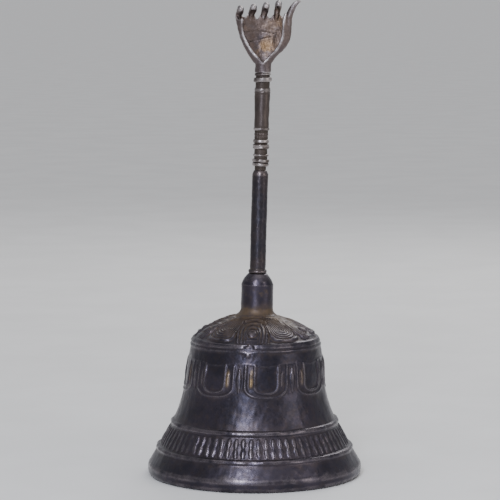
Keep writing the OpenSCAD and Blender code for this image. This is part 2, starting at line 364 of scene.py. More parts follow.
def bell_outline():
    """(radius, height, region) of every ring of the casting, from the socket's mouth round to its bore."""
    rows = []

    def add(points, region):
        rows.extend((r, z, region) for r, z in points)

    cone_foot = SOCKET_TOP - CONE_H
    add([(SHAFT_R + 0.05, SOCKET_TOP - 0.15), (SHAFT_R + 0.25, SOCKET_TOP)], SOCKET)
    t = np.linspace(0, 1, 14)
    cone_r = SHAFT_R + 0.55 + (SOCKET_R - SHAFT_R - 0.75) * t + 0.35 * np.sin(math.pi * t)
    add(np.column_stack([cone_r, SOCKET_TOP - 0.05 - (CONE_H - 0.5) * t]), SOCKET)
    add(arc(SOCKET_R - 0.5, cone_foot - 0.1, 0.5, 40, 0, 4), SOCKET)
    side = spaced(cone_foot - 0.5, CROWN_Z + 3.3, 0.45)
    add([(SOCKET_R - 0.12 * math.sin(math.pi * (cone_foot - z) / 8), z) for z in side], SOCKET)
    foot_r = 3.3
    add(arc(SOCKET_R + foot_r, CROWN_Z + 2.7, foot_r, 180, 243, 12), SOCKET)
    inner_edge = SOCKET_R + 2.2
    radii = spaced(inner_edge, SHOULDER_R - 0.7, 0.21)
    add(np.column_stack([radii, crown_height(radii)]), DOME)
    add(arc(SHOULDER_R - 0.75, SHOULDER_H - 0.15, 0.8, 62, 12, 5), SKIRT)
    # Rings lie closer together where there is ornament.
    for start, stop, step in ((57.2, 54.8, 0.2), (54.8, 51.6, 0.4), (51.6, 36, 0.28), (36, 24, 0.6),
                              (24, 10.6, 0.26), (10.6, 5.2, 0.45)):
        z = spaced(start, stop, step)
        add(np.column_stack([wall_r(z), z]), SKIRT)
    edge = np.array([(0.05, 5.0), (0.2, 4.5), (0.3, 4.0), (0.28, 3.3), (0.24, 2.6)])
    add(np.column_stack([LIP_R + edge[:, 0], edge[:, 1]]), LIP)
    add(arc(MOUTH_R - 2.05, 2.0, 2.0, 0, -90, 9), LIP)
    rim_in = LIP_R - WALL_T - 1.4
    add([(MOUTH_R - 3.2, 0), (rim_in + 0.5, 0), (rim_in + 0.1, 0.15), (rim_in, 0.5)], INSIDE)
    for z in spaced(2.0, SHOULDER_H - 2.2, 2.2):
        add([(float(wall_r(z)) - WALL_T - 1.4 * max(0, 1 - z / LIP_H), z)], INSIDE)
    for r in spaced(SHOULDER_R - WALL_T - 0.9, 8.4, 1.3):
        add([(r, float(crown_height(r)) - CROWN_T)], INSIDE)
    add([(7.4, BOSS_Z + 1.6), (7.2, BOSS_Z + 1.0), (7.2, BOSS_Z + 0.3), (7.0, BOSS_Z), (4.5, BOSS_Z),
         (BOLT_R + 0.25, BOSS_Z), (BOLT_R + 0.2, BOSS_Z + 0.3), (BOLT_R + 0.2, SEAT_Z - 0.3),
         (BOLT_R + 0.3, SEAT_Z), (SHAFT_R - 0.1, SEAT_Z), (SHAFT_R + 0.05, SEAT_Z + 0.3),
         (SHAFT_R + 0.05, SOCKET_TOP - 6)], INSIDE)
    return np.array(rows)


# ---------------------------------------------------------------- bell: ornament


def u_shape(across, above, half, drop):
    """How far a point is from the middle of a U, where 1 is on the U. Its foot reaches drop below 0."""
    below = np.clip(-above, 0, None)
    return (np.abs(across / half) ** 2.6 + np.abs(below / drop) ** 2.6) ** (1 / 2.6)


def lotus(rho, angle):
    """Height of the crown's relief: five arched petals with a bead each, and five ribbed round ones between.

    The front one is arched, and stands a little to the left.
    """
    sector, first = math.radians(36), math.radians(-4)
    k = np.round((angle - first) / sector)
    off = angle - first - k * sector
    across, out = rho * np.sin(off), rho * np.cos(off)
    arched = (k.astype(int) % 2) == 0
    fade = smooth(8.7, 10.5, rho) * smooth(25.9, 25.0, rho)
    beads = 1 + 0.22 * np.cos(out * 2 * math.pi / 2.3)
    # Arched petal: arches one inside another, closed towards the neck, over rungs and a ringed bead.
    arch_foot, arch_half, arch_reach = 21.9, 6.2, 12.6
    arch = u_shape(across, out - arch_foot, arch_half, arch_reach)
    bead_at, bead_r = 20.9, 1.8
    from_bead = np.hypot(across, out - bead_at)
    clear = smooth(2.5, 3.0, from_bead)
    to_mm = 5.9
    petal = 0.45 * ridge((arch - 0.95) * to_mm, 0.42) * beads
    petal = petal + clear * 0.36 * ridge((arch - 0.71) * to_mm, 0.36)
    petal = petal + clear * 0.3 * ridge((arch - 0.49) * to_mm, 0.3)
    tongue = smooth(0.42, 0.34, arch) * clear
    rungs = 0.5 + 0.5 * np.cos((out - 18.4) * 2 * math.pi / 1.9)
    petal = petal + tongue * (0.12 + 0.2 * rungs)
    petal = petal + 1.15 * np.sqrt(np.clip(1 - (from_bead / bead_r) ** 2, 0, None))
    petal = petal + 0.34 * ridge(from_bead - bead_r - 0.65, 0.3)
    # Round petal: fine lines follow its outline, inside a bold beaded edge.
    half = out * math.tan(math.radians(16.6))
    leaf_middle, leaf_reach = 18.6, 6.35
    leaf_q = u_shape(across, leaf_middle - out, half, leaf_reach)
    wave = 0.5 * np.sin(out * 1.9 + across * 0.8)
    fine = 0.5 + 0.5 * np.cos(2 * math.pi * leaf_q * 6.5 + wave)
    bold = 1 + 0.5 * np.cos(out * 2 * math.pi / 4.1)
    leaf = 0.45 * ridge((leaf_q - 0.95) * half, 0.45) * bold + 0.34 * smooth(1.0, 0.2, leaf_q)
    leaf = leaf + 0.24 * fine * smooth(0.88, 0.8, leaf_q)
    petal = petal - 0.22 * smooth(1.02, 1.1, arch)
    leaf = leaf - 0.22 * smooth(1.02, 1.1, leaf_q)
    return fade * np.where(arched, petal, leaf)


SWAG_STEP = math.radians(45)
SWAG_FIRST = math.radians(9.4)
SWAG_R = 28.8
SWAG_Z = 42.2


def from_swag(angle):
    """Number of the nearest garland, counted to the right from the front one, and distance across it."""
    k = np.round((angle - SWAG_FIRST) / SWAG_STEP)
    return k.astype(int) % 8, (angle - SWAG_FIRST - k * SWAG_STEP) * SWAG_R


def swags(z, angle):
    """Height of the relief round the waist: eight pairs of nested U garlands with drops between them."""
    across = from_swag(angle)[1]
    above = z - SWAG_Z
    fade = smooth(50.8, 48.6, z)
    inner = ridge((u_shape(across, above, 5.0, 3.9) - 1) * 4.6, 0.42) * 0.42
    outer = ridge((u_shape(across, above, 8.8, 5.6) - 1) * 7.6, 0.45) * 0.34
    panel = -0.1 * smooth(0.95, 0.8, u_shape(across, above, 5.0, 3.9))
    bar = 0.36 * ridge(np.abs(across) - 6.4, 0.5) * smooth(40, SWAG_Z, z) * smooth(47.8, 45.4, z)
    gap = np.abs(across) - SWAG_STEP / 2 * SWAG_R
    drop_w = 0.25 + 0.95 * np.clip(np.sin(math.pi * np.clip((48.4 - z) / 9.6, 0, 1)), 0, 1) ** 1.5
    drop = 0.4 * np.sqrt(np.clip(1 - (gap / drop_w) ** 2, 0, None)) * smooth(38, 39.2, z)
    cross = 0.11 * ridge(z - 49.9 + 0.5 * np.cos(across * math.pi / 8.8), 0.4)
    return (inner + outer) * fade + panel * fade + bar + drop * smooth(49.2, 48, z) + cross


def rubbed_brass(z, angle):
    """Where the bars of the garlands are rubbed down to yellow metal, on some of them."""
    swag, across = from_swag(angle)
    # For the left and right bar of each garland.
    share = np.array(
        [(0.9, 0.1), (0.25, 0), (0, 0.3), (0.3, 0), (0, 0.1), (0.5, 0.1), (0, 0.3), (0.1, 0.75)])
    this = share[swag, (across > 0).astype(int)]
    return this * ridge(np.abs(across) - 6.3, 0.6) * smooth(40, 42.5, z) * smooth(49, 45.5, z)


# Number of the sceptres, and the heights of their feet and tops.
FENCE = 76
FENCE_LOW, FENCE_HIGH = 13.1, 20.9


def fence(z, angle):
    """Height of the ring of small worn upright sceptres between the two ribs."""
    step = 2 * math.pi / FENCE
    which = np.floor(angle / step).astype(int) % FENCE
    off = angle - (np.floor(angle / step) + 0.5) * step
    tip, curl = RNG.uniform(-0.3, 0.3, FENCE), RNG.uniform(-0.35, 0.35, FENCE)
    worn = RNG.uniform(0.72, 1.0, FENCE)
    v = np.clip((z - FENCE_LOW) / (FENCE_HIGH - FENCE_LOW), 0, 1)
    shift = tip[which] * (v - 0.5) + curl[which] * smooth(0.35, 0.0, v)
    across = off * wall_r(z) - shift
    lobe = np.abs(np.sin(2 * math.pi * (v - 0.035 * np.sin(2 * math.pi * v)))) ** 0.8
    half = 0.3 + 0.62 * lobe + 0.12 * ridge(v - 0.5, 0.05) + 0.25 * smooth(0.14, 0.02, v)
    body = np.sqrt(np.clip(1 - (across / half) ** 2, 0, None))
    ends = smooth(0, 0.07, v) * smooth(1, 0.93, v)
    return 0.44 * worn[which] * ends * body * (0.75 + 0.25 * lobe)


def band(z, height, proud, half):
    """A raised round band."""
    return proud * np.sqrt(np.clip(1 - ((z - height) / half) ** 2, 0, None))


def skirt_relief(z, angle):
    lines = band(z, 22.6, 0.7, 1.0) + band(z, 11.8, 0.75, 0.95)
    shoulder = band(z, 56.9, 0.26, 0.6) + band(z, 55.3, 0.28, 0.55)
    bed = -0.18 * smooth(12.2, 13.2, z) * smooth(22.0, 21.2, z)
    return lines + shoulder + bed + swags(z, angle) + fence(z, angle)


def bell_body():
    cols = FENCE * 10
    outline = bell_outline()
    r, z, region = outline.T
    angle = np.linspace(-math.pi, math.pi, cols, endpoint=False) + math.pi / cols
    edge = np.roll(outline[:, :2], -1, 0) - np.roll(outline[:, :2], 1, 0)
    edge /= np.linalg.norm(edge, axis=1, keepdims=True)
    out_r, out_z = -edge[:, 1], edge[:, 0]
    grid_z, grid_a = np.meshgrid(z, angle, indexing="ij")
    grid_r = np.repeat(r[:, None], cols, 1)
    relief = np.zeros_like(grid_r)
    dome, skirt = region == DOME, region == SKIRT
    relief[dome] = lotus(grid_r[dome], grid_a[dome])
    relief[skirt] = skirt_relief(grid_z[skirt], grid_a[skirt])
    flat = np.stack([grid_r * np.sin(grid_a), -grid_r * np.cos(grid_a), grid_z], -1)
    outside = (region != INSIDE)[:, None] * (grid_z > 0.6)
    hand_made = 0.07 * ripples(flat, 19, 1) + 0.025 * ripples(flat, 4.5, 2) + 0.01 * ripples(flat, 1.3, 3)
    worn = 1 + 0.22 * ripples(flat, 9, 4)
    relief = relief * np.where((dome | skirt)[:, None], np.clip(worn, 0.5, 1.3), 1) + hand_made * outside
    relief = knocked(flat, relief + casting_flaws(flat, region))
    relief = np.where(region[:, None] == LIP, np.minimum(relief, 0), relief)
    facing = np.stack([out_r[:, None] * np.sin(angle), -out_r[:, None] * np.cos(angle),
                       np.repeat(out_z[:, None], cols, 1)], -1)
    co = flat + relief[..., None] * facing
    # The crown was cast a little off the axis of the mouth.
    co[..., 0] += 0.5 * smooth(38, 54, grid_z) * smooth(71, 60, grid_z)
    obj = rings_mesh("bell_body", leaned(co, smooth(60, 71, grid_z)), closed=True)
    mark(obj, "brass", rubbed_brass(grid_z, grid_a) * skirt[:, None])
    mark_proud_and_sunk(obj, 30, 0.15, extra=-0.85 * smooth(6.5, 4.5, grid_z).ravel())
    return obj


def casting_flaws(p, region):
    """A few blobs and pits of the casting, on the outside."""
    total = np.zeros(p.shape[:-1])
    for _ in range(46):
        a, z = RNG.uniform(-math.pi, math.pi), RNG.uniform(24, 56)
        centre = np.array([wall_r(z) * math.sin(a), -wall_r(z) * math.cos(a), z])
        size = RNG.uniform(0.35, 0.8)
        height = RNG.choice([-0.12, -0.08, 0.1, 0.16])
        total += height * np.exp(-(np.linalg.norm(p - centre, axis=-1) / size) ** 2)
    return total * (region == SKIRT)[:, None]


def knocked(p, relief):
    """The relief with a sloping flat knocked into the shoulder's rings, just left of the front."""
    middle = np.array([-2.9, -SHOULDER_R, 56.0])
    from_middle = np.linalg.norm((p - middle) * [1, 0.7, 0.85], axis=-1) + 0.25 * ripples(p, 2.2, 5)
    share = np.exp(-np.clip(from_middle / 2.2, 0, None) ** 3)
    return relief + share * (0.29 * (middle[2] - p[..., 2]) - 0.14 - relief)


# ---------------------------------------------------------------- handle


HANDLE_COLS = 144


def shaft():
    """The plain rod, a little uneven, with a collar on the neck's mouth and a chamfer at its top."""
    foot, top = SEAT_Z, SHAFT_TOP
    collar = np.linspace(0, 1, 9)
    collar_r = SHAFT_R + 0.5 * np.sqrt(np.clip(1 - (2 * collar - 1) ** 2, 0, None))
    profile = [(SHAFT_R - 0.4, foot), (SHAFT_R, foot + 0.4), (SHAFT_R, SOCKET_TOP - 0.4)]
    profile += list(zip(collar_r, SOCKET_TOP + 0.05 + 1.6 * collar))
    profile += [(SHAFT_R - 0.12, SOCKET_TOP + 1.9)]
    profile += [(SHAFT_R, z) for z in spaced(SOCKET_TOP + 2.4, top - 1.8, 0.5)]
    profile += [(SHAFT_R + 0.03, top - 1.8), (SHAFT_R - 0.03, top - 1.5), (SHAFT_R - 0.3, top - 0.9),
                (SHAFT_R - 0.57, top - 0.3), (SHAFT_R - 0.72, top - 0.08), (SHAFT_R - 0.9, top), (2.0, top)]
    co = turned(profile, HANDLE_COLS)
    flat_r = np.hypot(co[..., 0], co[..., 1])[..., None]
    outward = co * [1, 1, 0] / np.maximum(flat_r, 1e-6)
    bumps = 0.035 * (ripples(co, 5, 11) + 0.5 * ripples(co, 1.6, 12))
    co = co + (bumps * smooth(0.5, 2.0, flat_r[..., 0]))[..., None] * outward
    return rings_mesh("shaft", leaned(co))


# Foot above the shaft's top, height and radius of each turned ring.
RINGS = [(1.7, 1.5, 3.5), (3.25, 1.5, 3.55), (5.8, 1.0, 3.25), (8.9, 2.1, 3.5), (11.4, 1.5, 3.35),
         (16.6, 1.3, 3.3), (31.6, 2.9, 3.4), (36.8, 2.0, 3.85), (39.4, 1.15, 3.45)]


def grip_radius(h):
    """Radius of the grip at height h above the shaft's top."""
    core = np.interp(h, [0, 1.6, 5.2, 8.2, 12.2, 16.2, 18.1, 31.4, 35.2, 40.6],
                     [2.35, 2.4, 2.75, 2.7, 2.8, 2.85, 3, 3.25, 2.95, 3])
    for foot, high, r in RINGS:
        t = (h - foot) / high
        inside = (t >= 0) & (t <= 1)
        bulge = (r - 0.5) + 0.5 * np.clip(1 - np.abs(2 * t - 1) ** 3, 0, 1) ** 0.6
        core = np.where(inside, np.maximum(core, bulge), core)
    return core


def grip():
    h = np.arange(0, GRIP_LEN, 0.1)
    radius = grip_radius(h)
    around = np.convolve(np.pad(radius, 16, "edge"), np.ones(33) / 33, "valid")
    co = turned(np.column_stack([radius, SHAFT_TOP + 0.02 + h]), HANDLE_COLS)
    a = np.linspace(0, 2 * math.pi, HANDLE_COLS, endpoint=False)[None]
    up, r = h[:, None], radius[:, None]
    # Fine crossed cuts in the neck under the sixth ring, and filed grooves round the fourth and the seventh.
    crossed = 0.14 * np.cos(9 * a + 2.1 * up) * np.cos(9 * a - 2.1 * up)
    cuts = crossed * smooth(13.1, 13.8, up) * smooth(16.4, 15.8, up)
    cuts = cuts - 0.18 * ridge(up - 10.1 - 0.25 * np.sin(5 * a), 0.3)
    cuts = cuts - 0.15 * ridge(up - 32.9 - 0.3 * np.sin(4 * a), 0.3)
    brushed = ripples(co * [1, 1, 0.25], 2.2, 22)
    scale = 1 + (cuts + 0.04 * ripples(co, 6, 21) + 0.012 * brushed) / r
    co = co * np.stack([scale, scale, np.ones_like(scale)], -1)
    # The two uppermost and the two lowest rings sit a little askew.
    tilt = 0.07 * smooth(35.7, 37.2, up) * smooth(GRIP_LEN, GRIP_LEN - 0.6, up)
    tilt = tilt - 0.05 * ridge(up - 3.2, 1.6)
    co[..., 2] += tilt * co[..., 0]
    ends = np.stack([co[0] * [0.7, 0.7, 1], co[-1] * [0.7, 0.7, 1]])
    obj = rings_mesh("grip", leaned(np.concatenate([ends[:1], co, ends[1:]])))
    # Rings count as proud and take the worn colour, which also paints their highlight; the grooves between
    # them count as sunk and take the dark colour, which also paints the shade under the rings.
    height = np.repeat(np.pad((radius - around) / 0.28, 1, "edge")[:, None], HANDLE_COLS, 1).ravel()
    height = np.append(height, [0, 0])
    mark(obj, "proud", height)
    mark(obj, "sunk", -height)
    return obj


# ---------------------------------------------------------------- hand


PALM_H = 20.4
PALM_T = 1.5
PALM_TOP = PALM_Z + PALM_H
# How much deeper the palm gets than the cuff, and how far its top stands back.
PALM_SWELL = 1.5
PALM_BACK = 0.3
# Half the palm's width and how far from the middle the edge of its opening runs, on the thumb's side and on
# the other, at equal steps of height. The first and last keys set the end slopes.
WIDTH_THUMB = [1.5, 3.4, 5.9, 9.3, 10.9, 11.4, 11.5, 11.6, 11.6]
WIDTH_OTHER = [1.5, 3.9, 6.3, 8.35, 9.85, 10.85, 11.7, 12.1, 12.3]
EDGE_THUMB = [-3.5, 0, 3.5, 6.3, 7.95, 8.4, 8.5, 9.2, 10]
EDGE_OTHER = [-3.8, 0, 3.8, 6.6, 8.5, 9.6, 9.8, 9.8, 9.6]
# Across the palm, and depth below its top, of the gaps between the fingers.
GAPS = [(-8.3, 2.4), (-3.0, 2.4), (2.3, 1.9), (8.0, 1.5)]
# Across the palm, for each finger's root and its tip, and the tip's height above the palm's top.
FINGERS = [(-10.8, -9.9, 1.7), (-5.6, -4.6, 2.5), (-0.3, 0.7, 3.3), (5.2, 5.8, 4.2)]


def palm_place(u, v, inset):
    """Point of the palm's skin, u from -1 to 1 round it from one edge to the other and v up it."""
    half = np.where(u > 0, along(WIDTH_THUMB, v), along(WIDTH_OTHER, v))
    edge = np.where(u > 0, along(EDGE_THUMB, v), along(EDGE_OTHER, v))
    turn = (math.pi - np.arcsin(np.clip(edge / half, 0, 1))) * u
    deep = SHAFT_R + PALM_SWELL * smooth(0, 0.5, v)
    x = (half - inset) * np.sin(turn)
    y = (deep - inset) * np.cos(turn) + PALM_BACK * v
    notch = sum(depth * ridge(x - gap, 1.05) for gap, depth in GAPS) * smooth(0.0, 0.4, np.cos(turn))
    # The edge away from the thumb slopes down to the front, in front of the little finger.
    notch = (notch + 2.6 * smooth(-0.62, -0.95, u)) * smooth(0.7, 1, v)
    return np.stack([x, y, PALM_Z + v * PALM_H - notch], -1)


def palm():
    rows, cols = 90, 150
    v, u = np.meshgrid(np.linspace(0, 1, rows), np.linspace(-1, 1, cols), indexing="ij")
    return sheet_mesh("palm", palm_place(u, v, 0), palm_place(u, v, PALM_T))


def palm_edge(side):
    """The rounded edge along one side of the palm's opening."""
    v = np.linspace(0.03, 1.0, 14)
    u = np.full_like(v, side)
    outer, inner = palm_place(u, v, 0), palm_place(u, v, PALM_T)
    return rings_mesh("edge", tube(outer * 0.6 + inner * 0.4, 0.42 + 0.18 * v, 70))


def palm_back(x):
    """Depth of the middle of the palm's wall, at this place across its top."""
    wide = (WIDTH_OTHER[-2] if x < 0 else WIDTH_THUMB[-2]) - PALM_T / 2
    return PALM_BACK + (SHAFT_R + PALM_SWELL - PALM_T / 2) * math.sqrt(1 - (x / wide) ** 2)


def finger(foot_x, tip_x, tip_up):
    """A finger that rises from the top of the palm's wall and hooks forward over it."""
    tip, back = PALM_TOP + tip_up, palm_back(foot_x)
    over = 0.3 * foot_x + 0.7 * tip_x
    places = [(foot_x, back + 0.1, PALM_TOP - 4.5), (foot_x, back, PALM_TOP - 1),
              (over, back - 1.2, tip - 1.1), (tip_x, back - 4, tip + 0.25), (tip_x, -5.4, tip)]
    return rings_mesh("finger", tube(places, [0.7, 1.3, 1.5, 1.35, 1.05], 70))


def thumb():
    places = [(10.0, -1.4, PALM_TOP - 7), (10.2, -1.7, PALM_TOP - 2.2), (10.6, -2.1, PALM_TOP + 0.6),
              (11.7, -2.6, PALM_TOP + 3.0), (13.1, -3, PALM_TOP + 4.9), (14.5, -3.2, PALM_TOP + 5.6)]
    return rings_mesh("thumb", tube(places, [0.7, 1.2, 1.4, 1.25, 0.98, 0.5], 80))


def creases(x, z):
    """Depth of the lines of the palm: two across it and one round the ball of the thumb."""
    up = z - PALM_Z
    across = ridge(up - 13.2 + 0.02 * (x + 3) ** 2, 0.35) * smooth(-8, -6, x) * smooth(6, 4, x)
    second = ridge(up - 10.2 - 0.25 * x, 0.3) * smooth(-7, -5, x) * smooth(4, 2, x)
    ball = ridge(np.hypot(x - 8.5, (up - 9) * 0.7) - 4.4, 0.35) * smooth(4, 6, up) * smooth(15.5, 13, up)
    return 0.16 * np.maximum(np.maximum(across, second), ball)


def hand():
    cuff = [(2.0, GRIP_TOP - 5), (2.0, GRIP_TOP + 0.02), (SHAFT_R - 0.25, GRIP_TOP + 0.02),
            (SHAFT_R, GRIP_TOP + 0.3), (SHAFT_R - 0.05, PALM_Z - 1), (SHAFT_R, PALM_Z + 0.1),
            (2.6, PALM_Z + 0.5), (1.2, PALM_Z + 0.3)]
    parts = [rings_mesh("cuff", turned(through(cuff, 60), 64)), palm()]
    parts += [palm_edge(1.0), palm_edge(-1.0), thumb()]
    parts += [finger(*f) for f in FINGERS]
    obj = fused("hand", parts, 0.16, 6)
    co, n = read_points(obj), normals_of(obj)
    within = smooth(-2.2, -1.0, co[:, 1]) * smooth(0.1, 0.4, -n[:, 1])
    within = within * smooth(PALM_Z, PALM_Z + 2, co[:, 2])
    uneven = 0.05 * ripples(co, 3.2, 31) + 0.02 * ripples(co, 1.1, 32)
    co = co + n * (uneven - creases(co[:, 0], co[:, 2]) * within)[:, None]
    write_points(obj, leaned(co))
    # Yellow metal shows on the heel of the palm and at the foot of the first finger.
    heel = ridge(np.hypot(co[:, 0] - 0.8, (co[:, 2] - PALM_Z - 6) * 0.8), 3.6)
    upper = ridge(np.hypot(co[:, 0] - 5.5, (co[:, 2] - PALM_TOP + 3.5) * 0.8), 3.2)
    mark(obj, "brass", within * np.clip(0.2 + heel + 0.6 * upper, 0, 1))
    # The palm's rims count as more proud and less sunk, so the worn colour paints a highlight line along them
    # on top of their wear, and the hand's hollows take a dark colour that is partly painted shade.
    v = np.linspace(0.03, 1, 50)
    edges = np.vstack([palm_place(np.full_like(v, side), v, PALM_T * 0.5) for side in (-1.0, 1.0)])
    from_edge = np.linalg.norm(co[:, None] - edges[None], axis=-1).min(1)
    mark_proud_and_sunk(obj, 60, 0.3, extra=0.9 * ridge(from_edge - 0.15, 0.55))
    return obj


# ---------------------------------------------------------------- hardware inside the bell


PIVOT_X = (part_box("clapper_rod")[0].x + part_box("clapper_rod")[1].x) / 2 / MM
EYE_MID = 2.6
EYE_R = 0.9
LINK_MID = 2.2
LINK_R = 0.7
LINK_TOP = node_top("clapper_link")
LINK_FOOT = node_foot("clapper_link")
ROD_TOP = node_top("clapper_rod")
ROD_FOOT = node_foot("clapper_rod")
BALL_LOW, BALL_HIGH = node_foot("clapper_ball"), node_top("clapper_ball")


def circle_path(radius, n=72):
    """A ring in the XZ plane about the origin."""
    a = np.linspace(0, 2 * math.pi, n, endpoint=False)
    return np.stack([radius * np.sin(a), 0 * a, radius * np.cos(a)], -1)


def eye(z, x=0.0):
    return rings_mesh("eye", tube(circle_path(EYE_MID) + [x, 0, z], EYE_R, 0, closed=True), closed=True)


def bolt():
    foot = node_foot("eye_bolt")
    ring_z = foot + EYE_R + EYE_MID
    base = ring_z + EYE_MID - 0.2
    pitch, core_r, cols = 0.7, 1.86, 40
    z = np.arange(base, SEAT_Z + 8, 0.07)
    shank = turned(np.column_stack([np.full(len(z), core_r), z]), cols)
    a = np.linspace(0, 2 * math.pi, cols, endpoint=False)[None]
    thread = 0.1 * np.cos(2 * math.pi * shank[..., 2] / pitch + a)
    shank = shank * np.stack([1 + thread / core_r, 1 + thread / core_r, np.ones_like(thread)], -1)
    obj = fused("bolt", [eye(ring_z), rings_mesh("shank", shank)], 0.13, 3)
    write_points(obj, leaned(read_points(obj)))
    return obj


def washer(name, z, thick, outer, inner, centre_x=0.0, lean_it=True):
    """A flat ring with chamfered edges, a little wavy."""
    edge = 0.15
    outline = [(inner, z + edge), (inner, z + thick - edge), (inner + edge, z + thick),
               (outer - edge, z + thick), (outer, z + thick - edge), (outer, z + edge),
               (outer - edge, z), (inner + edge, z)]
    co = turned(outline, 72) + [centre_x, 0, 0]
    co[..., 2] += 0.02 * ripples(co, 5, 41)
    return rings_mesh(name, leaned(co) if lean_it else co, closed=True)


def nut():
    """A hexagon nut with its corners turned off at both faces."""
    height, across = 3.2, 7.0
    z0 = BOSS_Z - 1 - height
    cols = 120
    a = np.linspace(0, 2 * math.pi, cols, endpoint=False)
    hexagon = across / 2 / np.cos(np.mod(a, math.pi / 3) - math.pi / 6)
    rows = []
    outside = [(0, 3.45), (0.3, 3.75), (0.55, 4.2)]
    outside += [(height - up, limit) for up, limit in outside[::-1]]
    for up, limit in outside:
        rows.append((np.minimum(hexagon, limit) - 0.02, z0 + up))
    for up, r in ((height, 2.25), (height - 0.25, 2.0), (0.25, 2.0), (0, 2.25)):
        rows.append((np.full(cols, r), z0 + up))
    co = np.stack([np.stack([r * np.sin(a), -r * np.cos(a), 0 * a + z], -1) for r, z in rows])
    obj = rings_mesh("nut", leaned(co), closed=True)
    bevel = obj.modifiers.new("edges", "BEVEL")
    bevel.width = 0.12 * MM
    bevel.segments = 2
    bevel.limit_method = "ANGLE"
    bevel.angle_limit = math.radians(25)
    applied(obj)
    return obj


def link():
    """A long closed link of round wire."""
    low, high = LINK_FOOT + LINK_R + LINK_MID, LINK_TOP - LINK_R - LINK_MID
    a = np.radians(np.linspace(0, 180, 31))
    top = np.stack([0 * a, LINK_MID * np.cos(a), high + LINK_MID * np.sin(a)], -1)
    foot = np.stack([0 * a, -LINK_MID * np.cos(a), low - LINK_MID * np.sin(a)], -1)
    left = np.linspace(top[-1], foot[0], 10)[1:-1]
    right = np.linspace(foot[-1], top[0], 10)[1:-1]
    path = np.vstack([top, left, foot, right]) + [PIVOT_X, 0, 0]
    co = tube(path, LINK_R, 0, sides=24, closed=True)
    co = co + 0.012 * ripples(co, 1.5, 51)[..., None]
    return rings_mesh("link", co, closed=True)


def rod():
    """The clapper's rod, with its eye, the collar above the ball and the riveted head under it."""
    ring_z = ROD_TOP - EYE_R - EYE_MID
    upper = ring_z - EYE_MID
    shank = tube([(PIVOT_X, 0, ROD_FOOT + 0.8), (PIVOT_X + 0.03, 0, (upper + ROD_FOOT) / 2),
                  (PIVOT_X, 0, upper)], [1.0, 0.98, 0.95], 120, sides=28)
    collar = turned([(0.8, BALL_HIGH + 0.02), (2.5, BALL_HIGH + 0.02), (2.55, BALL_HIGH + 0.3),
                     (1.7, BALL_HIGH + 1.3), (1.2, BALL_HIGH + 1.6), (0.8, BALL_HIGH + 1.7)], 48)
    head = turned([(0.6, ROD_FOOT + 0.04), (1.1, ROD_FOOT + 0.08), (1.7, ROD_FOOT + 0.4),
                   (1.85, ROD_FOOT + 0.75), (1.8, ROD_FOOT + 0.96), (0.8, ROD_FOOT + 0.96)], 48)
    # The end of the wire that forms the eye is hammered down against the shank.
    lap = tube([(PIVOT_X + 1.9, 0, upper + 0.75), (PIVOT_X + 1.15, 0, upper - 0.5),
                (PIVOT_X + 0.75, 0, upper - 2.6)], [0.75, 0.8, 0.5], 30)
    shift = np.array([PIVOT_X, 0, 0])
    parts = [eye(ring_z, PIVOT_X), rings_mesh("shank", shank), rings_mesh("collar", collar + shift),
             rings_mesh("head", head + shift), rings_mesh("lap", lap)]
    return fused("rod", parts, 0.13, 3)


def ball():
    """The ball, cut flat where it meets collar and washer, with a casting seam round its middle."""
    r = (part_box("clapper_ball")[1].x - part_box("clapper_ball")[0].x) / 2 / MM
    middle = (BALL_LOW + BALL_HIGH) / 2
    half = (BALL_HIGH - BALL_LOW) / 2
    a = np.linspace(-math.asin(half / r), math.asin(half / r), 60)
    outline = [(1.04, middle - half + 0.1), (1.2, middle - half)]
    outline += [(r * math.cos(t) - 0.06, middle + r * math.sin(t) * 0.998) for t in a]
    outline += [(1.2, middle + half), (1.04, middle + half - 0.1)]
    co = turned(outline, 128)
    radius = np.hypot(co[..., 0], co[..., 1])
    seam = 0.05 * ridge(co[..., 2] - middle, 0.25)
    rough = (0.05 * ripples(co, 3, 61) + 0.03 * ripples(co, 1, 62) - 0.06) * (radius > 2)
    scale = 1 + (seam + np.minimum(rough, 0)) / np.maximum(radius, 1) * (radius > 2)
    co = co * np.stack([scale, scale, np.ones_like(scale)], -1) + [PIVOT_X, 0, 0]
    return rings_mesh("ball", co, closed=True)


# ---------------------------------------------------------------- materials


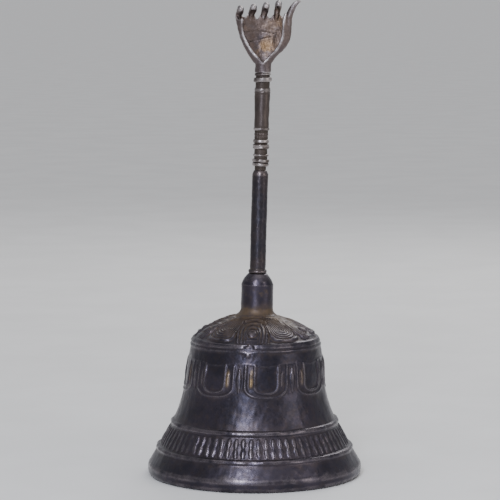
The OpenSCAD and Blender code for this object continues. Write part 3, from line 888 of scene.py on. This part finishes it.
class Shader:
    """Small helper for wiring a node material."""

    def __init__(self, name):
        self.material = bpy.data.materials.new(name)
        self.material.use_nodes = True
        self.tree = self.material.node_tree
        self.tree.nodes.clear()
        self.coords = self.tree.nodes.new("ShaderNodeTexCoord").outputs["Object"]

    def node(self, kind, **values):
        node = self.tree.nodes.new(kind)
        for key, value in values.items():
            setattr(node, key, value)
        return node

    def put(self, socket, value):
        if isinstance(value, bpy.types.NodeSocket):
            self.tree.links.new(value, socket)
        else:
            socket.default_value = value

    def noise(self, size, detail=4.0, roughness=0.55, distortion=0.0):
        """Noise whose features are about size millimetres across, as a value from 0 to 1."""
        n = self.node("ShaderNodeTexNoise")
        self.put(n.inputs["Vector"], self.coords)
        n.inputs["Scale"].default_value = 1 / (size * MM)
        n.inputs["Detail"].default_value = detail
        n.inputs["Roughness"].default_value = roughness
        n.inputs["Distortion"].default_value = distortion
        return n.outputs["Fac"]

    def remap(self, value, low, high, out_low=0.0, out_high=1.0):
        """Turns low to high into out_low to out_high, with even slopes at both ends."""
        n = self.node("ShaderNodeMapRange", clamp=True, interpolation_type="SMOOTHSTEP")
        sockets = ("Value", "From Min", "From Max", "To Min", "To Max")
        for key, v in zip(sockets, (value, low, high, out_low, out_high)):
            self.put(n.inputs[key], v)
        return n.outputs["Result"]

    def math(self, operation, a, b=0.0):
        n = self.node("ShaderNodeMath", operation=operation, use_clamp=operation in ("ADD", "MULTIPLY"))
        self.put(n.inputs[0], a)
        self.put(n.inputs[1], b)
        return n.outputs[0]

    def blend(self, share, a, b):
        """Colour a, turned into b by the share."""
        n = self.node("ShaderNodeMix", data_type="RGBA")
        self.put(n.inputs["Factor"], share)
        self.put(n.inputs["A"], a)
        self.put(n.inputs["B"], b)
        return n.outputs["Result"]

    def height(self):
        split = self.node("ShaderNodeSeparateXYZ")
        self.put(split.inputs[0], self.coords)
        return split.outputs["Z"]

    def layer(self, name):
        return self.node("ShaderNodeAttribute", attribute_name=name).outputs["Fac"]

    def bump(self, height, strength, distance, onto=None):
        n = self.node("ShaderNodeBump")
        n.inputs["Strength"].default_value = strength
        n.inputs["Distance"].default_value = distance * MM
        self.put(n.inputs["Height"], height)
        if onto is not None:
            self.put(n.inputs["Normal"], onto)
        return n.outputs["Normal"]

    def finish(self, colour, metallic, roughness, normal):
        shader = self.node("ShaderNodeBsdfPrincipled")
        self.put(shader.inputs["Base Color"], colour)
        self.put(shader.inputs["Metallic"], metallic)
        self.put(shader.inputs["Roughness"], roughness)
        self.put(shader.inputs["Normal"], normal)
        out = self.node("ShaderNodeOutputMaterial")
        self.tree.links.new(shader.outputs["BSDF"], out.inputs["Surface"])
        return self.material


def rgb(r, g, b):
    return (r, g, b, 1.0)


def bronze(name, dark, tint, worn, grime_and_shade, wear, dirt_and_shade, rough, crown_dirt=0.0, brass=None):
    """Patinated bronze: dark skin in patches, worn metal where it stands proud, dust where it is sunk.
    On the grip and the hand the worn colour is partly a painted highlight and the dark sunk colour partly
    painted shade.

    dirt_and_shade is how much dust and painted shade lies in the hollows, and crown_dirt how much on the crown
    and round the neck's foot.
    """
    s = Shader(name)
    patches = s.remap(s.noise(15, 5, 0.6, distortion=0.5), 0.38, 0.62)
    skin = s.blend(patches, dark, tint)
    mottle = s.remap(s.noise(2.4, 6, 0.65), 0.42, 0.7)
    skin = s.blend(s.math("MULTIPLY", mottle, 0.12 + 0.15 * dirt_and_shade), skin, grime_and_shade)
    uneven = s.remap(s.noise(5, 4), 0.3, 0.62)
    # Worn metal where it stands proud; on the grip's rings and along the palm's rims this is also a painted
    # highlight.
    rubbed = s.math("MULTIPLY", s.math("MULTIPLY", s.remap(s.layer("proud"), 0.12, 0.8), uneven), wear)
    spread = s.remap(s.noise(3.2, 4), 0.3, 0.6, 0.3, 1.0)
    # A dark colour in the hollows: dust, and on the grip and the hand also painted shade in grooves, creases
    # and under the fingers.
    soiled_and_shaded = s.math("MULTIPLY", s.remap(s.layer("sunk"), 0.05, 0.5), spread)
    amount = dirt_and_shade
    if crown_dirt:
        z = s.height()
        amount = s.remap(z, (SHOULDER_H - 1) * MM, (SHOULDER_H + 6) * MM, dirt_and_shade, crown_dirt)
        foot = s.math("MULTIPLY", s.remap(z, 60 * MM, 68 * MM), s.remap(z, 68.5 * MM, 74 * MM, 1.0, 0.0))
        foot = s.math("MULTIPLY", foot, s.remap(s.noise(3.5, 5, 0.6), 0.25, 0.65, 0.2, 1.0))
    soiled_and_shaded = s.math("MULTIPLY", soiled_and_shaded, amount)
    if crown_dirt:
        soiled_and_shaded = s.math("MAXIMUM", soiled_and_shaded, s.math("MULTIPLY", foot, crown_dirt))
    colour = s.blend(rubbed, skin, worn)
    if brass:
        bare = s.math("MULTIPLY", s.layer("brass"), s.remap(s.noise(4.5, 5, 0.6), 0.35, 0.6))
        colour = s.blend(bare, colour, brass)
    colour = s.blend(soiled_and_shaded, colour, grime_and_shade)
    metallic = s.math("SUBTRACT", 0.94, s.math("MULTIPLY", soiled_and_shaded, 0.5))
    gloss = s.remap(s.noise(1.1, 5, 0.6), 0.3, 0.7, *rough)
    gloss = s.math("SUBTRACT", gloss, s.math("MULTIPLY", rubbed, 0.08))
    gloss = s.math("ADD", gloss, s.math("MULTIPLY", soiled_and_shaded, 0.22))
    normal = s.bump(s.noise(0.5, 3), 0.2, 0.02)
    normal = s.bump(s.noise(3.0, 5, 0.6), 0.3, 0.06, onto=normal)
    return s.finish(colour, metallic, gloss, normal)


def iron(name, dark, rust, bright, rough):
    """Dark iron, rusty in patches, brighter where it is rubbed."""
    s = Shader(name)
    base = s.blend(s.remap(s.noise(6, 5, 0.6), 0.35, 0.65), dark, bright)
    rusty = s.remap(s.noise(2.2, 6, 0.7, distortion=0.8), 0.52, 0.7)
    colour = s.blend(s.math("MULTIPLY", rusty, 0.7), base, rust)
    rubbed = s.remap(s.layer("proud"), 0.2, 0.9)
    colour = s.blend(s.math("MULTIPLY", rubbed, 0.6), colour, bright)
    metallic = s.math("SUBTRACT", 0.9, s.math("MULTIPLY", rusty, 0.6))
    gloss = s.remap(s.noise(0.9, 5), 0.3, 0.7, *rough)
    normal = s.bump(s.noise(0.6, 4, 0.65), 0.4, 0.05)
    return s.finish(colour, metallic, gloss, normal)


def materials():
    """The finish of each slot."""
    return {
        "bell_bronze": bronze(
            "bell_bronze", rgb(0.034, 0.031, 0.042), rgb(0.05, 0.043, 0.058), rgb(0.15, 0.128, 0.14),
            rgb(0.105, 0.068, 0.036), wear=0.65, dirt_and_shade=0.1, rough=(0.27, 0.38), crown_dirt=0.8,
            brass=rgb(0.36, 0.25, 0.13)),
        "shaft_bronze": bronze(
            "shaft_bronze", rgb(0.036, 0.034, 0.042), rgb(0.055, 0.045, 0.048), rgb(0.16, 0.13, 0.13),
            rgb(0.08, 0.055, 0.035), wear=0.7, dirt_and_shade=0.3, rough=(0.28, 0.4)),
        # The grip's dark colour is partly painted shade in its grooves, and its light worn colour partly a
        # painted highlight on its rings.
        "grip_bronze": bronze(
            "grip_bronze", rgb(0.075, 0.06, 0.057), rgb(0.1, 0.08, 0.072), rgb(0.4, 0.36, 0.35),
            rgb(0.035, 0.024, 0.017), wear=0.9, dirt_and_shade=1.0, rough=(0.34, 0.44)),
        # The hand's dark colour is partly painted shade in its creases and under the fingers, and its light
        # worn colour partly a painted highlight along the palm's rims.
        "hand_bronze": bronze(
            "hand_bronze", rgb(0.11, 0.088, 0.09), rgb(0.15, 0.115, 0.105), rgb(0.46, 0.42, 0.42),
            rgb(0.045, 0.03, 0.02), wear=1.0, dirt_and_shade=0.9, rough=(0.4, 0.52), brass=rgb(0.19, 0.118, 0.065)),
        "iron": iron(
            "iron", rgb(0.05, 0.047, 0.047), rgb(0.13, 0.06, 0.03), rgb(0.16, 0.15, 0.15), (0.42, 0.62)),
        "clapper_iron": iron(
            "clapper_iron", rgb(0.06, 0.057, 0.057), rgb(0.12, 0.065, 0.04), rgb(0.2, 0.19, 0.19),
            (0.36, 0.56)),
    }


# ---------------------------------------------------------------- putting the pieces on the frame


def place(obj, body, slot, nodes, skins):
    """Puts a finished piece on its body, in the place of its CAD nodes."""
    if "proud" not in obj.data.attributes:
        mark_proud_and_sunk(obj, 14, 0.12)
    obj.data.materials.clear()
    obj.data.materials.append(skins[slot])
    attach(obj, body)
    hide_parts(*nodes)


def build():
    skins = materials()
    place(bell_body(), "bell", "bell_bronze", ["bell_shell"], skins)
    place(shaft(), "bell", "shaft_bronze", ["lower_shaft"], skins)
    place(grip(), "bell", "grip_bronze", ["ringed_grip"], skins)
    place(hand(), "bell", "hand_bronze", ["hand_finial"], skins)
    place(bolt(), "bell", "iron", ["eye_bolt"], skins)
    place(washer("crown_plate", BOSS_Z - 1, 0.98, 6, BOLT_R + 0.2), "bell", "iron", ["crown_washer"], skins)
    place(nut(), "bell", "iron", ["lock_nut"], skins)
    place(link(), "link", "iron", ["clapper_link"], skins)
    place(rod(), "clapper", "iron", ["clapper_rod"], skins)
    place(ball(), "clapper", "clapper_iron", ["clapper_ball"], skins)
    foot = node_foot("clapper_washer")
    place(washer("rivet_plate", foot, BALL_LOW - foot - 0.02, 3, 1.04, PIVOT_X, lean_it=False),
          "clapper", "iron", ["clapper_washer"], skins)


# ---------------------------------------------------------------- stage, lights and camera


def stage():
    """A pale floor that reaches 600 m, to the horizon, and an even pale sky of about the same tone."""
    reach, sides = 600, 96
    a = np.linspace(0, 2 * math.pi, sides, endpoint=False)
    mesh = bpy.data.meshes.new("floor")
    mesh.from_pydata([(reach * math.cos(t), reach * math.sin(t), 0) for t in a], [], [list(range(sides))])
    floor = bpy.data.objects.new("floor", mesh)
    bpy.context.scene.collection.objects.link(floor)
    paint = Shader("floor_paint")
    patches = paint.remap(paint.noise(60, 3), 0.3, 0.7)
    tone = paint.blend(patches, rgb(0.74, 0.73, 0.72), rgb(0.78, 0.77, 0.76))
    mesh.materials.append(paint.finish(tone, 0.0, 0.7, paint.bump(paint.noise(8, 2), 0.05, 0.1)))
    world = bpy.data.worlds.new("studio")
    world.use_nodes = True
    sky = world.node_tree.nodes["Background"]
    sky.inputs["Color"].default_value = rgb(0.93, 0.95, 1.0)
    sky.inputs["Strength"].default_value = 0.55
    bpy.context.scene.world = world


def soft_light(name, where, aim, size, watts, colour=(1, 1, 1)):
    lamp = bpy.data.lights.new(name, "AREA")
    lamp.shape = "RECTANGLE"
    lamp.size, lamp.size_y = size
    lamp.energy = watts
    lamp.color = colour
    obj = bpy.data.objects.new(name, lamp)
    obj.location = where
    obj.rotation_euler = (Vector(aim) - Vector(where)).to_track_quat("-Z", "Y").to_euler()
    obj.visible_camera = False
    bpy.context.scene.collection.objects.link(obj)


def lights():
    aim = (0, 0, 0.08)
    soft_light("key", (-0.2, -0.85, 0.66), aim, (0.16, 0.45), 6.0, (0.84, 0.89, 1.0))
    soft_light("window", (-0.22, -0.9, 0.2), aim, (0.2, 0.36), 1.6, (0.72, 0.8, 1.0))
    soft_light("fill", (0.8, -0.45, 0.35), aim, (0.4, 0.6), 1.7, (1.0, 0.97, 0.94))
    soft_light("back", (0.3, 0.8, 0.7), aim, (0.6, 0.4), 3.5)
    sun = bpy.data.lights.new("ceiling", "SUN")
    sun.energy = 0.6
    sun.angle = math.radians(70)
    obj = bpy.data.objects.new("ceiling", sun)
    obj.rotation_euler = (math.radians(20), 0, 0)
    bpy.context.scene.collection.objects.link(obj)


def camera():
    """Level with the top of the handle, a metre away, and tipped down to about half the object's height."""
    away, height = 1.0, 0.2
    aim_z, side = 0.09465, -0.0019
    data = bpy.data.cameras.new("camera")
    data.sensor_width = 36
    data.lens = 172.7
    data.clip_start, data.clip_end = 0.01, 1000
    obj = bpy.data.objects.new("camera", data)
    obj.location = (side, -away, height)
    obj.rotation_euler = (math.pi / 2 - math.atan2(height - aim_z, away), 0, 0)
    bpy.context.scene.collection.objects.link(obj)
    bpy.context.scene.camera = obj


camera()
stage()
lights()
build()
